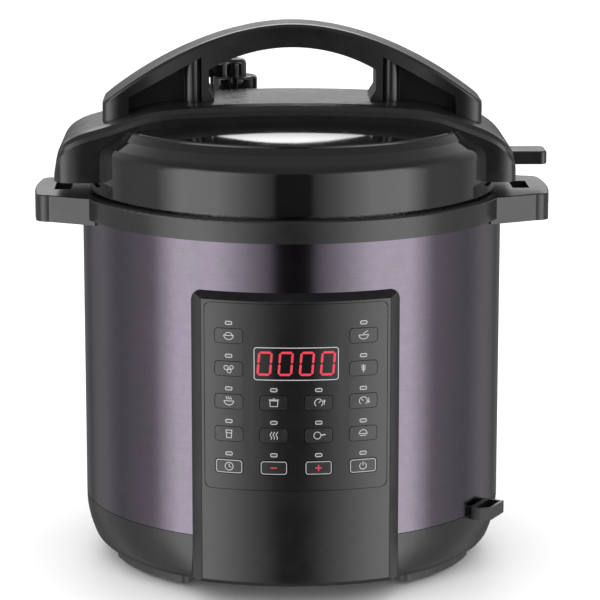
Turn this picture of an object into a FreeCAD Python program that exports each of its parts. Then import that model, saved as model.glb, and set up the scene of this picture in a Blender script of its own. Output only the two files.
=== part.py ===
import FreeCAD, Part
import math
import os

# An electric pressure cooker, +Z up, front towards -Y, standing on z = 0, its pot on the Z axis.
# All sizes are in millimetres.

# ---- the pot, which sets the whole width and height ----
pot_radius = 110.0            # inside the pot
pot_depth = 158.0             # pot floor to rim
pot_wall = 1.0
pot_floor = 1.5
pot_rim_width = 3.0           # rolled rim outside the wall
pot_gap = 6.0                 # air between pot and liner

# ---- the liner and the bayonet closure ----
sheet = 1.2                   # steel of the liner
lug_count = 6
lug_angle = 28.0              # width of one lug
lug_thick = 1.4
lug_reach = 5.4               # how far a lid lug stands out of the lid plate's skirt
lug_clear = 0.3
skirt_wall = 1.5              # steel skirt of the lid plate
skirt_clear = 2.0             # pot rim to the inside of that skirt
flange_width = 6.3            # liner flange outside the lug notches

# ---- the body ----
works_height = 40.5           # shell's lower edge to the pot's underside
insulation_gap = 17.8         # liner to shell
shell_wall = 0.8
ring_height = 14.0
ring_wall = 4.0
rim_drop = 3.0                # pot rim below the top of the upper ring
bowl_height = 33.4
bowl_inset = 15.0             # how far the bowl curves in
bowl_wall = 2.6
foot_height = 7.6
pad_height = 2.0
seam = 0.4                    # shadow gap between two covers

# ---- carrying handles on the upper ring ----
handle_reach = 168.0 - 140.1  # beyond the ring
handle_half_width = 38.0
handle_root_half_width = 53.0
handle_drop = 3.5             # below the ring's lower edge
handle_wall = 3.0
slot_width = 11.0
slot_length = 29.0
slot_inset = 13.0             # handle end to the slot's outer side

# ---- control panel ----
panel_proud = 10.0            # front face outside the shell
panel_half_angle = 23.5
panel_flare = 5.8             # the sides flare this much wider where they meet the shell
panel_wall = 2.5
panel_low = 14.0              # above the table
panel_top = 199.0
panel_bevel = 3.5
overlay_half_angle = 22.5
overlay_low = 76.6
overlay_top = 193.9
overlay_depth = 0.9
overlay_proud = 0.1
fit_gap = 0.35                # a moving key in its hole, and the line round the overlay
key_width = 17.0
key_height = 9.0
key_corner = 2.0
key_cap = 3.0
key_travel = 0.5
key_proud = 0.3
column_x = 13.8               # inner columns; the outer ones are three times as far out
row_pitch = 20.6
lens_bottom_row = 99.2        # height of the lowest row of lamps
lens_to_key = 8.1
lens_width = 4.4
lens_height = 2.0
window_half_width = 26.3
window_low = 146.4
window_top = 167.2
board_back = 16.0             # panel face to the control board's front
board_thick = 1.6
switch_height = 3.5

# ---- lid ----
lid_gap = 1.4                 # lid edge above the upper ring
lid_clear = 0.6               # liner flange to the inside of the lid cover
lid_wall = 2.0
lid_skirt = 29.2              # straight side of the cover
lid_shoulder = 12.1           # height of the sloping shoulder
lid_shoulder_width = 18.0
lid_crown = 8.0               # dome inside the rim
bar_half = 47.0               # half width of the bar
bar_height = 16.5             # bar top above the lid rim, at the middle
bar_wall = 3.0
left_reach = 153.5
right_reach = 144.0
wing_gap = 9.0                # wings above the carrying handles
tongue_reach = 22.5           # lid-stand tongue beyond the right wing
tongue_width = 25.0
tongue_thick = 8.8
arch_rise = 48.5              # arch top above the bar's top
arch_half_span = 122.5
arch_thick = 15.2
opening_corner_drop = 29.5    # arch top down to the opening's upper corners
arch_waist = 17.0             # half width of the grip
arch_foot = 27.0              # half width of its feet
opening_half_width = 54.0
rib_wall = 4.5                # wall either side of the hand opening
boss_radius = 6.0             # screw bosses that stand in the recesses
foot_length = 17.0
web_half = 7.0
recess_roof = 9.0             # thickness left above the recesses beside the posts
handle_gap = 0.15             # handle's feet above the bar

# ---- valves in the lid ----
valve_x = -38.0
valve_y = 66.0
float_x = 32.0
float_y = 66.0
pipe_radius = 4.0
running = 0.3

V = FreeCAD.Vector
AXIS = V(0, 0, 1)
ORIGIN = V(0, 0, 0)

# ---- radii worked out from the pot outwards ----
pot_outer = pot_radius + pot_wall
pot_rim_radius = pot_outer + pot_rim_width
liner_bore = pot_outer + pot_gap
plate_skirt_in = pot_rim_radius + skirt_clear
plate_skirt_out = plate_skirt_in + skirt_wall
lug_tip = plate_skirt_out + lug_reach
notch_radius = lug_tip + 0.6
lug_inner = plate_skirt_out + 0.8
neck_bore = lug_tip + 1.1
flange_radius = notch_radius + flange_width
lid_radius = flange_radius + lid_clear + lid_wall
ring_radius = lid_radius + 7.7
shell_radius = liner_bore + sheet + insulation_gap + 1.0
panel_radius = shell_radius + panel_proud
handle_end = ring_radius + handle_reach
board_y = -(panel_radius - board_back)

# ---- heights worked out from the table upwards ----
shell_low = foot_height + bowl_height
pot_low = shell_low + works_height
rim_top = pot_low + pot_floor + pot_depth
ring_top = rim_top + rim_drop
shell_top = ring_top - ring_height
flange_low = ring_top - sheet - 0.3
lug_top = flange_low - lug_clear
plate_low = lug_top - lug_thick
seal_low = rim_top + 0.3
seal_top = seal_low + 7.5
plate_under = seal_top + 0.3
lid_low = ring_top + lid_gap
lid_side_top = lid_low + lid_skirt
rim_z = lid_side_top + lid_shoulder
rim_radius = lid_radius - lid_shoulder_width
bar_top = rim_z + bar_height
wing_low = ring_top + wing_gap
arch_top = bar_top + arch_rise
hot_top = pot_low - 0.2
hot_thick = 11.5

os.makedirs("parts", exist_ok=True)


def path(points, place):
    """Closed wire. A pair is a corner; a four is an arc through its first pair to its second."""
    edges = []
    here = place(*points[0][-2:])
    for p in list(points[1:]) + [points[0][-2:]]:
        end = place(*p[-2:])
        if len(p) == 4:
            edges.append(Part.Arc(here, place(*p[:2]), end).toShape())
        elif (end - here).Length > 1e-6:
            edges.append(Part.makeLine(here, end))
        here = end
    return Part.Wire(edges)


def turned(points):
    """Solid of revolution about Z from (radius, height) points."""
    return Part.Face(path(points, lambda r, z: V(r, 0, z))).revolve(ORIGIN, AXIS, 360)


def upright(points, low, high):
    """Plan outline (x, y) raised from low to high."""
    return Part.Face(path(points, lambda x, y: V(x, y, low))).extrude(V(0, 0, high - low))


def across(points, front, back):
    """Front outline (x, z) drawn out along Y from front to back."""
    return Part.Face(path(points, lambda x, z: V(x, front, z))).extrude(V(0, back - front, 0))


def rod(radius, low, high, x=0.0, y=0.0):
    return Part.makeCylinder(radius, high - low, V(x, y, low))


def tube(outer, inner, low, high, x=0.0, y=0.0):
    return rod(outer, low, high, x, y).cut(rod(inner, low - 1, high + 1, x, y))


def block(x0, x1, y0, y1, z0, z1):
    return Part.makeBox(x1 - x0, y1 - y0, z1 - z0, V(x0, y0, z0))


def rounded(width, height, corner, x, z, front, back):
    """Rounded rectangle facing the front, centred on x and z, from front to back along Y."""
    w, h, c = width / 2, height / 2, corner
    d = c * (1 - math.sqrt(0.5))
    pts = [
        (x - w + c, z - h), (x + w - c, z - h), (x + w - d, z - h + d, x + w, z - h + c),
        (x + w, z + h - c), (x + w - d, z + h - d, x + w - c, z + h),
        (x - w + c, z + h), (x - w + d, z + h - d, x - w, z + h - c),
        (x - w, z - h + c), (x - w + d, z - h + d, x - w + c, z - h),
    ]
    return across(pts, front, back)


def sector(inner, outer, middle_angle, half_angle, low, high):
    """Part of a ring. Angles run anticlockwise from +X, in degrees."""
    def at(r, a):
        t = math.radians(middle_angle + a)
        return r * math.cos(t), r * math.sin(t)
    h = half_angle
    pts = [
        at(inner, -h), at(outer, -h), at(outer, 0) + at(outer, h),
        at(inner, h), at(inner, 0) + at(inner, -h),
    ]
    return upright(pts, low, high)


def spun(shape, angle):
    copy = shape.copy()
    copy.rotate(ORIGIN, AXIS, angle)
    return copy


def moved(shape, x=0.0, y=0.0, z=0.0):
    copy = shape.copy()
    copy.translate(V(x, y, z))
    return copy


def mirrored(shape, x=0, y=0):
    return shape.mirror(ORIGIN, V(x, y, 0))


def joined(first, *others):
    return first.fuse(list(others)).removeSplitter()


def group(shapes):
    return Part.makeCompound(shapes)


def save(node, shape):
    solids = shape.Solids
    result = solids[0] if len(solids) == 1 else Part.makeCompound(solids)
    if not result.isValid() or any(s.Volume <= 0 for s in solids):
        raise ValueError(node + " is not a valid solid")
    result.exportStep("parts/" + node + ".step")
    print(node, len(solids), round(result.Volume / 1000.0, 2), "cm3")


def soften(shape, radius, wanted):
    """Fillet the edges that wanted(edge) picks."""
    return shape.makeFillet(radius, [e for e in shape.Edges if wanted(e)])


def is_upright(edge):
    a, b = edge.Vertexes[0].Point, edge.Vertexes[-1].Point
    return abs(a.x - b.x) < 1e-4 and abs(a.y - b.y) < 1e-4 and abs(a.z - b.z) > 1


# ------------------------------------------------------------------ body covers

def bowl_curve(inset, low_extra=0.0):
    """Quarter ellipse of the bowl's outside, moved in by inset; returns its middle and foot points."""
    reach = bowl_inset - inset * 0.15
    drop = bowl_height - inset + low_extra
    top = shell_radius - inset
    mid = (top - reach * (1 - math.sqrt(0.5)), shell_low - drop * math.sqrt(0.5))
    low = (top - reach, shell_low - drop)
    q = math.pi / 8
    upper = (top - reach * (1 - math.cos(q)), shell_low - drop * math.sin(q))
    lower = (top - reach * (1 - math.cos(3 * q)), shell_low - drop * math.sin(3 * q))
    return upper, mid, lower, low


def body_envelope():
    """Everything inside the shell and bowl's outer surface."""
    upper, mid, lower, low = bowl_curve(0.0)
    return turned([
        (0, low[1]), low, lower + mid, upper + (shell_radius, shell_low),
        (shell_radius, shell_top), (0, shell_top),
    ])


def outer_shell():
    low = shell_low + seam / 2
    shell = tube(shell_radius, shell_radius - shell_wall, low, shell_top - 0.2)
    window = block(-54, 54, -panel_radius, -90, shell_low + 8, panel_top - 9)
    inlet = rounded(inlet_width - 4, inlet_height - 4, 3, 0, inlet_z, 90, shell_radius + 5)
    return shell.cut(group([window, inlet]))


def base_bowl():
    upper, mid, lower, low = bowl_curve(0.0)
    iu, im, il, ilow = bowl_curve(bowl_wall)
    lip_out = shell_radius - shell_wall - 0.2
    lip_in = lip_out - 1.8
    opening = bowl_opening
    bowl = turned([
        (opening, low[1]), low, lower + mid, upper + (shell_radius, shell_low - seam / 2),
        (lip_out, shell_low - seam / 2), (lip_out, shell_low + 7), (lip_in, shell_low + 7),
        (lip_in, shell_low - 2), iu + im, il + ilow, (opening, ilow[1]),
    ])
    return bowl.cut(block(-54, 54, -panel_radius, -100, shell_low - 4, shell_low + 9))


def bottom_cover():
    opening = bowl_opening
    plate = rod(opening - 0.3, foot_height, foot_height + bowl_wall)
    shape = plate
    for angle in foot_angles:
        foot = sector(opening - 14, shell_radius - 16, angle, 19.5, pad_height, foot_height)
        edges = [e for e in foot.Edges if is_upright(e)]
        shape = shape.fuse(foot.makeFillet(5.0, edges))
    slots = []
    for i in range(8):
        for r in (34, 52, 70):
            slot = block(-1.6, 1.6, r - 6, r + 6, foot_height - 1, foot_height + bowl_wall + 1)
            slots.append(spun(slot, 22.5 + 45 * i))
    holes = [spun(rod(2.2, 0, 20, 0, opening - 20), a - 90) for a in foot_angles]
    recesses = [spun(rod(4.2, 0, foot_height + 0.4, 0, opening - 20), a - 90) for a in foot_angles]
    return shape.removeSplitter().cut(group(slots + holes + recesses))


def rubber_feet():
    opening = bowl_opening
    pads = []
    for angle in foot_angles:
        pad = sector(opening - 1, shell_radius - 21, angle, 14, 0, pad_height)
        pads.append(pad.makeFillet(3.5, [e for e in pad.Edges if is_upright(e)]))
    return group(pads)


def base_screws():
    opening = bowl_opening
    screws = []
    for angle in foot_angles:
        head = rod(3.8, foot_height - 1.8, foot_height + 0.4, 0, opening - 20)
        shank = rod(1.9, foot_height + 0.4, foot_height + 9, 0, opening - 20)
        slot = block(-3, 3, opening - 20.4, opening - 19.6, foot_height - 2, foot_height - 0.9)
        screws.append(spun(head.fuse(shank).cut(slot), angle - 90))
    return group(screws)


def handle_plan(inset):
    """One carrying handle seen from above, on the +X side, drawn in by inset."""
    end = handle_end - inset
    half = handle_half_width - inset
    root = handle_root_half_width - inset
    root_x = math.sqrt(ring_radius ** 2 - handle_root_half_width ** 2) - 3
    c = 9.0
    d = c * (1 - math.sqrt(0.5))
    bow = 2.0
    return [
        (root_x, -root), (end - c - bow, -half), (end - d - bow, -half + d, end - bow, -half + c),
        (end, 0, end - bow, half - c), (end - d - bow, half - d, end - c - bow, half),
        (root_x, root),
    ]


def upper_ring():
    outer, top = ring_radius, ring_top
    ledge = flange_radius + 0.4
    inner = neck_bore + sheet + 0.3
    wall_in = outer - ring_wall
    lip = shell_radius - shell_wall - 0.2
    ring = turned([
        (inner, shell_top - 4), (inner + 2, shell_top - 4), (inner + 2, top - 4),
        (lip - 2, top - 4), (lip - 2, shell_top - 8), (lip, shell_top - 8), (lip, shell_top),
        (outer, shell_top), (outer, top - 1.5), (outer - 0.44, top - 0.44, outer - 1.5, top),
        (ledge, top), (ledge, flange_low), (inner, flange_low),
    ])
    low = shell_top - handle_drop
    solid = upright(handle_plan(0), low, top)
    solid = soften(solid, 1.2, lambda e: abs(e.BoundBox.ZMin - top) < 1e-3 and e.BoundBox.ZLength < 1e-3)
    hollow = upright(handle_plan(handle_wall), low - 1, top - 4.5)
    slot_out = handle_end - slot_inset
    slot = block(slot_out - slot_width, slot_out, -slot_length / 2, slot_length / 2, low - 1, top + 1)
    keep_out = rod(wall_in, low - 5, top + 5)
    handle = solid.cut(group([hollow, slot]))
    rib = block(ring_radius - 1, handle_end - handle_wall + 0.5, 17, 19.5, low + 1, top - 4)
    handle = handle.fuse([rib, mirrored(rib, y=1)]).cut(keep_out)
    inside_shell = rod(shell_radius + 0.3, low - 1, shell_top)
    handle = handle.cut(inside_shell)
    ring = ring.fuse([handle, mirrored(handle, x=1)]).removeSplitter()
    # condensation drain at the back
    drain = block(-6, 6, ring_radius - 8, ring_radius - 5, shell_top - 2, top + 1)
    return ring.cut(drain)


# ------------------------------------------------------------------ control panel

def panel_prism(radius, flare_in, low, high, top_bevel):
    """Curved panel outline with flared sides, from low to high."""
    half = math.radians(panel_half_angle)
    x, y = radius * math.sin(half), -radius * math.cos(half)
    back_x = x + panel_flare + 1.8
    back_y = -110.0 * shell_radius / 137.0
    side_y = -(shell_radius - 14.5)
    pts = [
        (-x + flare_in, y), (0, -radius, x - flare_in, y),
        (x - flare_in + panel_flare, side_y), (back_x - flare_in, back_y),
        (-back_x + flare_in, back_y), (-x + flare_in - panel_flare, side_y),
    ]
    solid = upright(pts, low, high)
    if top_bevel:
        front = [e for e in solid.Edges if is_upright(e) and e.BoundBox.YMax < y + 1]
        solid = solid.makeFillet(3.0, front)
        bevel = turned([
            (shell_radius, high), (radius, high - top_bevel), (radius + 9, high - top_bevel),
            (radius + 9, high + 5), (shell_radius, high + 5),
        ])
        solid = solid.cut(bevel)
        corner = 6.0
        near = corner * (1 - math.sqrt(0.5))
        reach = x + panel_flare
        for side in (-1, 1):
            solid = solid.cut(across([
                (side * (reach - corner), high), (side * (reach - near), high - near,
                 side * reach, high - corner), (side * (reach + 9), high - corner),
                (side * (reach + 9), high + 1), (side * (reach - corner), high + 1),
            ], -radius - 9, -60))
        solid = solid.cut(turned([
            (radius - 3, low), (radius, low + 3), (radius + 9, low + 3), (radius + 9, low - 5),
            (radius - 3, low - 5),
        ]))
    return solid


def columns():
    return [-3 * column_x, -column_x, column_x, 3 * column_x]


def key_places():
    """(name, x, lamp height) for every key."""
    names = [
        ["key_delay", "key_yogurt", "key_soup", "key_beans", "key_rice"],
        ["key_minus", "key_steam", "key_stew"],
        ["key_plus", "key_saute", "key_high_pressure"],
        ["key_cancel", "key_slow_cook", "key_low_pressure", "key_grain", "key_porridge"],
    ]
    places = []
    for x, column in zip(columns(), names):
        for row, name in enumerate(column):
            places.append((name, x, lens_bottom_row + row * row_pitch))
    return places


def face_y(x, radius):
    return -math.sqrt(radius ** 2 - x ** 2)


def overlay_slab(inner, outer, inset):
    """The overlay's curved plate with rounded corners."""
    half = math.radians(overlay_half_angle)
    width = 2 * (panel_radius * math.sin(half) - inset)
    height = overlay_top - overlay_low - 2 * inset
    middle = (overlay_top + overlay_low) / 2
    shape = rounded(width, height, 4.0, 0, middle, -panel_radius - 20, -60)
    return shape.common(tube(outer, inner, overlay_low - 5, overlay_top + 5))


def key_holes(grow, inner=60.0):
    holes = []
    for _, x, z in key_places():
        holes.append(rounded(key_width + 2 * grow, key_height + 2 * grow, key_corner + grow,
                             x, z - lens_to_key, -panel_radius - 20, -inner))
        holes.append(rounded(lens_width, lens_height, 0.9, x, z, -panel_radius - 20, -inner))
    return holes


def window_hole(grow):
    return rounded(2 * (window_half_width + grow), window_top - window_low + 2 * grow, 1.5 + grow,
                   0, (window_top + window_low) / 2, -panel_radius - 20, -60)


def panel_hollow():
    return panel_prism(panel_radius - panel_wall, panel_wall, panel_low + 3, panel_top - 5, 0)


def panel_housing():
    outer = panel_prism(panel_radius, 0.0, panel_low, panel_top, panel_bevel)
    shape = outer.cut(panel_hollow()).cut(body_envelope())
    recess = overlay_slab(panel_radius - overlay_depth, panel_radius + 5, -fit_gap)
    return shape.cut(group([recess, window_hole(-1.0)] + key_holes(fit_gap)))


def control_overlay():
    slab = overlay_slab(panel_radius - overlay_depth, panel_radius + overlay_proud, 0.0)
    return slab.cut(group([window_hole(0.15)] + key_holes(fit_gap)))


def display_window():
    plate = window_hole(0.0)
    return plate.common(tube(panel_radius + overlay_proud, panel_radius - overlay_depth,
                             window_low - 5, window_top + 5))


def display_module():
    back = board_y
    front = face_y(window_half_width, panel_radius - panel_wall) + 0.6
    return rounded(2 * window_half_width - 1, window_top - window_low + 2, 0.8, 0,
                   (window_top + window_low) / 2, front, back)


def indicator_lenses():
    lenses = []
    for _, x, z in key_places():
        body = rounded(lens_width, lens_height, 0.9, x, z, -panel_radius - 20, board_y - 0.8)
        lenses.append(body.common(rod(panel_radius + overlay_proud, z - 5, z + 5)))
    return group(lenses)


def key(x, z):
    cap = rounded(key_width, key_height, key_corner, x, z, -panel_radius - 20, -60)
    cap = cap.common(tube(panel_radius + key_proud, panel_radius - key_cap, z - 10, z + 10))
    stem_end = board_y - switch_height - key_travel - 0.1
    stem_start = face_y(abs(x), panel_radius - key_cap / 2)
    stem = Part.makeCylinder(2.0, stem_end - stem_start, V(x, stem_start, z), V(0, 1, 0))
    return joined(cap, stem)


def control_board():
    low, high = shell_low + 11, panel_top - 12
    board = rounded(96, high - low, 3, 0, (low + high) / 2, board_y, board_y + board_thick)
    posts = []
    for x in (-2 * column_x, 2 * column_x):
        for z in (low + 6, high - 6):
            front = face_y(abs(x), panel_radius - panel_wall)
            posts.append(Part.makeCylinder(2.5, board_y - front + 0.3, V(x, front - 0.3, z), V(0, 1, 0)))
    return joined(board, *[p.common(panel_hollow()) for p in posts])


def tact_switches():
    shapes = []
    for _, x, z in key_places():
        zc = z - lens_to_key
        body = block(x - 3, x + 3, board_y - switch_height + 0.6, board_y, zc - 3, zc + 3)
        button = Part.makeCylinder(1.6, 0.6, V(x, board_y - switch_height, zc), V(0, 1, 0))
        shapes.append(joined(body, button))
    return group(shapes)


# ------------------------------------------------------------------ hot parts

def liner():
    neck_low = plate_low - 15
    step_low = neck_low - 7
    floor = hot_floor
    wall = sheet
    rings = turned([
        (lug_inner, flange_low), (neck_bore, flange_low), (neck_bore, neck_low),
        (liner_bore, step_low), (liner_bore, floor + wall), (liner_hole, floor + wall),
        (liner_hole, floor), (liner_bore + wall, floor), (liner_bore + wall, step_low - 0.5),
        (neck_bore + wall, neck_low - 0.5), (neck_bore + wall, flange_low),
        (flange_radius, flange_low), (flange_radius, flange_low + wall), (lug_inner, flange_low + wall),
    ])
    gaps = []
    pitch = 360.0 / lug_count
    for i in range(lug_count):
        angle = 90 + pitch * i
        gap = sector(lug_inner - 3, notch_radius, angle, (pitch - lug_angle) / 2,
                     flange_low - 0.5, flange_low + wall + 0.5)
        gaps.append(gap)
    return rings.cut(group(gaps))


def heating_plate():
    top, low = hot_top, hot_top - hot_thick
    edge = pot_radius - 18.0
    seat = hot_floor + sheet
    return turned([
        (probe_hole, low), (probe_hole, top), (edge - 2, top), (edge - 0.6, top - 0.6, edge, top - 2),
        (edge, low), (edge - 4, low), (edge - 4, seat), (edge - 10, seat), (edge - 10, low),
    ])


def heater_terminals():
    low = hot_top - hot_thick
    pins = []
    for x in (-14, 14):
        collar = rod(4.0, low - 5, low, x, 42)
        pin = rod(1.8, low - 17, low - 5, x, 42)
        pins.append(collar.fuse(pin))
    return group(pins)


def temperature_probe():
    top = hot_top
    body = turned([
        (0, top), (11, top), (11.7, top - 0.3, 12, top - 1), (12, top - 9), (14, top - 9),
        (14, top - 10.2), (0, top - 10.2),
    ])
    return body


def probe_spring():
    high = hot_top - 10.2
    low = spring_seat
    turns = 4.0
    wire = 0.8
    length = high - low - 2 * wire
    helix = Part.makeHelix(length / turns, length, 9.0)
    helix.translate(V(0, 0, low + wire))
    disc = Part.Wire([Part.makeCircle(wire, V(9.0, 0, low + wire), V(0, 1, 0))])
    return Part.Wire(helix).makePipeShell([disc], True, True)


def spring_plate():
    seat = spring_seat
    strap = block(-liner_hole - 12, liner_hole + 12, -12, 12, seat - 2, seat)
    legs = []
    for side in (-1, 1):
        x = side * (liner_hole + 10)
        legs.append(block(min(x, x + side * 2), max(x, x + side * 2), -12, 12, seat, hot_floor - 1.5))
        pad = block(min(x, x + side * 12), max(x, x + side * 12), -12, 12, hot_floor - 1.5, hot_floor)
        legs.append(pad)
    cup = tube(12.5, 10.5, seat, seat + 3)
    return joined(strap, cup, *legs)


def pressure_switch():
    seat = spring_seat - 2
    body = block(22, 44, -9, 9, seat - 16, seat - 3)
    plunger = rod(2.5, seat - 3, seat, 33, 0)
    tabs = [block(26 + 10 * i, 27 + 10 * i, -3, 3, seat - 24, seat - 16) for i in range(2)]
    return joined(body, plunger, *tabs)


def thermal_fuse():
    z = hot_floor - 4
    body = Part.makeCylinder(3, 22, V(-11, -85, z), V(1, 0, 0))
    leads = Part.makeCylinder(0.8, 50, V(-25, -85, z), V(1, 0, 0))
    clip = block(-4, 4, -88.8, -81.2, z, hot_floor)
    return joined(body, leads, clip)


# ------------------------------------------------------------------ electrics in the base

def power_board():
    z = foot_height + bowl_wall + 8
    board = upright([(-62, 8), (62, 8), (62, 74), (-62, 74)], z, z + board_thick)
    posts = [rod(3.5, foot_height + bowl_wall, z, x, y) for x in (-55, 55) for y in (15, 67)]
    return joined(board, *posts)


def power_parts():
    z = foot_height + bowl_wall + 8 + board_thick
    relay = block(-55, -36, 28, 44, z, z + 15)
    transformer = block(-24, 6, 26, 50, z, z + 17)
    capacitor = rod(6.5, z, z + 14, 22, 56)
    filter_cap = block(34, 52, 32, 42, z, z + 12)
    terminal = block(-52, -22, 56, 66, z, z + 9)
    return group([relay, transformer, capacitor, filter_cap, terminal])


inlet_width = 50.0
inlet_height = 30.0
inlet_z = 64.0


def power_inlet():
    face = shell_radius + 3.2
    flange = rounded(inlet_width, inlet_height, 3, 0, inlet_z, shell_radius - 3.5, face)
    flange = flange.cut(rod(shell_radius + 0.02, inlet_z - 30, inlet_z + 30))
    barrel = rounded(inlet_width - 5, inlet_height - 5, 2.5, 0, inlet_z, face - 18, face - 1)
    socket = rounded(26, 17.5, 3, 0, inlet_z, face - 15, face + 5)
    return flange.fuse(barrel).removeSplitter().cut(socket)


def inlet_pins():
    face = shell_radius + 3.2
    pins = []
    for x, z in ((-7, -2), (0, 2), (7, -2)):
        pin = block(x - 1, x + 1, face - 20, face - 3.5, inlet_z + z - 2, inlet_z + z + 2)
        pins.append(pin)
    return group(pins)


# ------------------------------------------------------------------ things hung on the body

def ladle_holder():
    """Small open-topped pocket on the right, below the shell's lower edge."""
    low, high = shell_low - 4.0, shell_low + 4.0
    inner = shell_radius + 0.02
    out = shell_radius + 11.6
    wall = 1.8
    half = 12.5
    body = upright([(inner - 5, -half), (out - 6, -half), (out, -half + 5), (out, half),
                    (inner - 5, half)], low, high)
    body = body.cut(rod(inner, low - 1, high + 1))
    body = body.cut(body_envelope())
    back, front, side = inner + wall, out - wall, half - wall
    cup = upright([(back, -side), (front - 5, -side), (front, -side + 4.2), (front, side), (back, side)],
                  low + wall, high + 1)
    cup = cup.cut(rod(back, low - 1, high + 2))
    return spun(body.cut(cup), ladle_angle)


cup_low = 182.0
cup_width = 78.0
cup_depth = 13.0
cup_wall = 1.6


def cup_bracket():
    """Two rails at the back that the condensation cup's side flanges slide on."""
    high = cup_top
    rails = []
    for side in (-1, 1):
        x = side * (cup_width / 2 + 1.0)
        post = block(min(x, x + side * 3), max(x, x + side * 3), 100, rail_end, high - 16, high - 1.4)
        ledge_in = x - side * 1.2
        ledge = block(min(ledge_in, x + side * 3), max(ledge_in, x + side * 3), 100, rail_end,
                      high - 7.5, high - 5.5)
        rails.append(post.fuse(ledge).removeSplitter().cut(rod(shell_radius + 0.02, 0, high + 20)))
    return group(rails)


def condensation_cup():
    inner = shell_radius + 0.8
    outer = inner + cup_depth
    half = cup_width / 2 - 1.2
    plan = rounded_box_plan(half, 100, outer + 2)
    ring = tube(outer, inner, cup_low, cup_top - 2)
    body = upright(plan, cup_low, cup_top - 2).common(ring)
    body = soften(body, 3.0, lambda e: is_upright(e) and e.BoundBox.YMin > inner * 0.9 and
                  math.hypot(e.BoundBox.XMax, e.BoundBox.YMax) > inner + 5)
    hollow_ring = tube(outer - cup_wall, inner + cup_wall, cup_low + cup_wall, cup_top + 5)
    hollow = upright(rounded_box_plan(half - cup_wall, 100, outer), cup_low + cup_wall, cup_top + 5)
    body = body.cut(hollow.common(hollow_ring))
    flanges = []
    for side in (-1, 1):
        x = side * half
        piece = block(min(x - side * 1.0, x + side * 1.9), max(x - side * 1.0, x + side * 1.9),
                      100, outer, cup_top - 5.2, cup_top - 3.2)
        flanges.append(piece.common(tube(rail_end - 0.5, inner, cup_top - 10, cup_top)))
    grip = rounded(30, 3, 1.4, 0, cup_low + 12, outer - 2, outer + 6)
    grip = grip.common(tube(outer + 0.9, outer - 0.5, cup_low, cup_top))
    return joined(body, grip, *flanges)


def rounded_box_plan(half, front, back):
    return [(-half, front), (half, front), (half, back), (-half, back)]


# ------------------------------------------------------------------ pot

def inner_pot():
    r, w = pot_radius, pot_wall
    low, floor, top = pot_low, pot_low + pot_floor, rim_top
    c = 10.0
    d = c * (1 - math.sqrt(0.5))
    k = c + w
    e = k * (1 - math.sqrt(0.5))
    return turned([
        (0, low), (r + w - k, low), (r + w - e, low + e, r + w, low + k), (r + w, top - 2.2),
        (pot_rim_radius - 0.4, top - 2.2), (pot_rim_radius, top - 1.1, pot_rim_radius - 0.4, top),
        (r + 0.6, top), (r, top - 0.6), (r, floor + c), (r - d, floor + d, r - c, floor), (0, floor),
    ])


# ------------------------------------------------------------------ lid

def dome_z(r, drop=0.0):
    """Height of the lid cover's domed top at radius r, drop below the surface."""
    ball = (rim_radius ** 2 + lid_crown ** 2) / (2 * lid_crown)
    return rim_z - 1.2 + lid_crown - ball + math.sqrt(ball ** 2 - r ** 2) - drop


def cover_profile(t):
    """Outside of the lid cover drawn in by t, from the lower edge to the middle of the top."""
    brow = rim_radius - 2.2
    ease = 9.0 - t
    hub_r, hub_z = lid_radius - 9.0, lid_side_top - 6.2
    slope = math.radians(59.0)
    points = [
        (lid_radius - t, lid_low), (lid_radius - t, hub_z),
        (hub_r + ease * math.cos(slope / 2), hub_z + ease * math.sin(slope / 2),
         hub_r + ease * math.cos(slope), hub_z + ease * math.sin(slope)),
        (rim_radius + 5.5, lid_side_top + 6.4 - t), (rim_radius + 1.3, rim_z - 1.5 - t),
    ]
    if not t:
        points += [
            (rim_radius + 1.0, rim_z - 0.6), (rim_radius, rim_z), (rim_radius - 1.2, rim_z - 0.2),
            (brow, rim_z - 1.6),
        ]
    points += [(brow - 1.0, dome_z(brow - 1.0, t))]
    points += [(brow * 0.5, dome_z(brow * 0.5, t), 0, dome_z(0, t))]
    return points


def lid_envelope():
    return turned([(0, lid_low)] + cover_profile(0.0))


def lid_cover():
    inside = cover_profile(lid_wall)
    hollow = turned([(0, lid_low - 1), (lid_radius - lid_wall, lid_low - 1)] + inside[1:])
    cover = lid_envelope().cut(hollow)
    bosses = []
    holes = [rod(18.0, lid_side_top, rim_z + 20, valve_x, valve_y)]
    holes.append(rod(6.0, lid_side_top, rim_z + 20, float_x, float_y))
    for x, y in screw_places:
        r = math.hypot(x, y)
        bosses.append(rod(6.0, plate_top(r - 6) + 0.2, dome_z(r, 1.0), x, y))
        holes.append(rod(screw_radius + 0.2, lid_low, rim_z + 20, x, y))
    collar = tube(18.0 + 1.6, 18.0, rim_z - 8, dome_z(math.hypot(valve_x, valve_y)) + 1.5, valve_x, valve_y)
    return cover.fuse(bosses + [collar]).removeSplitter().cut(group(holes))


def ridge(stations, low):
    """Smooth bar along X: each station is (x, top, half width, size of its rounded top corners)."""
    wires = []
    for x, top, half, ease in stations:
        side = [(half, low), (half, top - 0.8 * ease), (half - 0.14 * ease, top - 0.45 * ease),
                (half - 0.45 * ease, top - 0.14 * ease), (half - ease, top)]
        loop = side + [(-y, z) for y, z in reversed(side)]
        wires.append(Part.makePolygon([V(x, y, z) for y, z in loop + loop[:1]]))
    return Part.makeLoft(wires, True, False)


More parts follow.
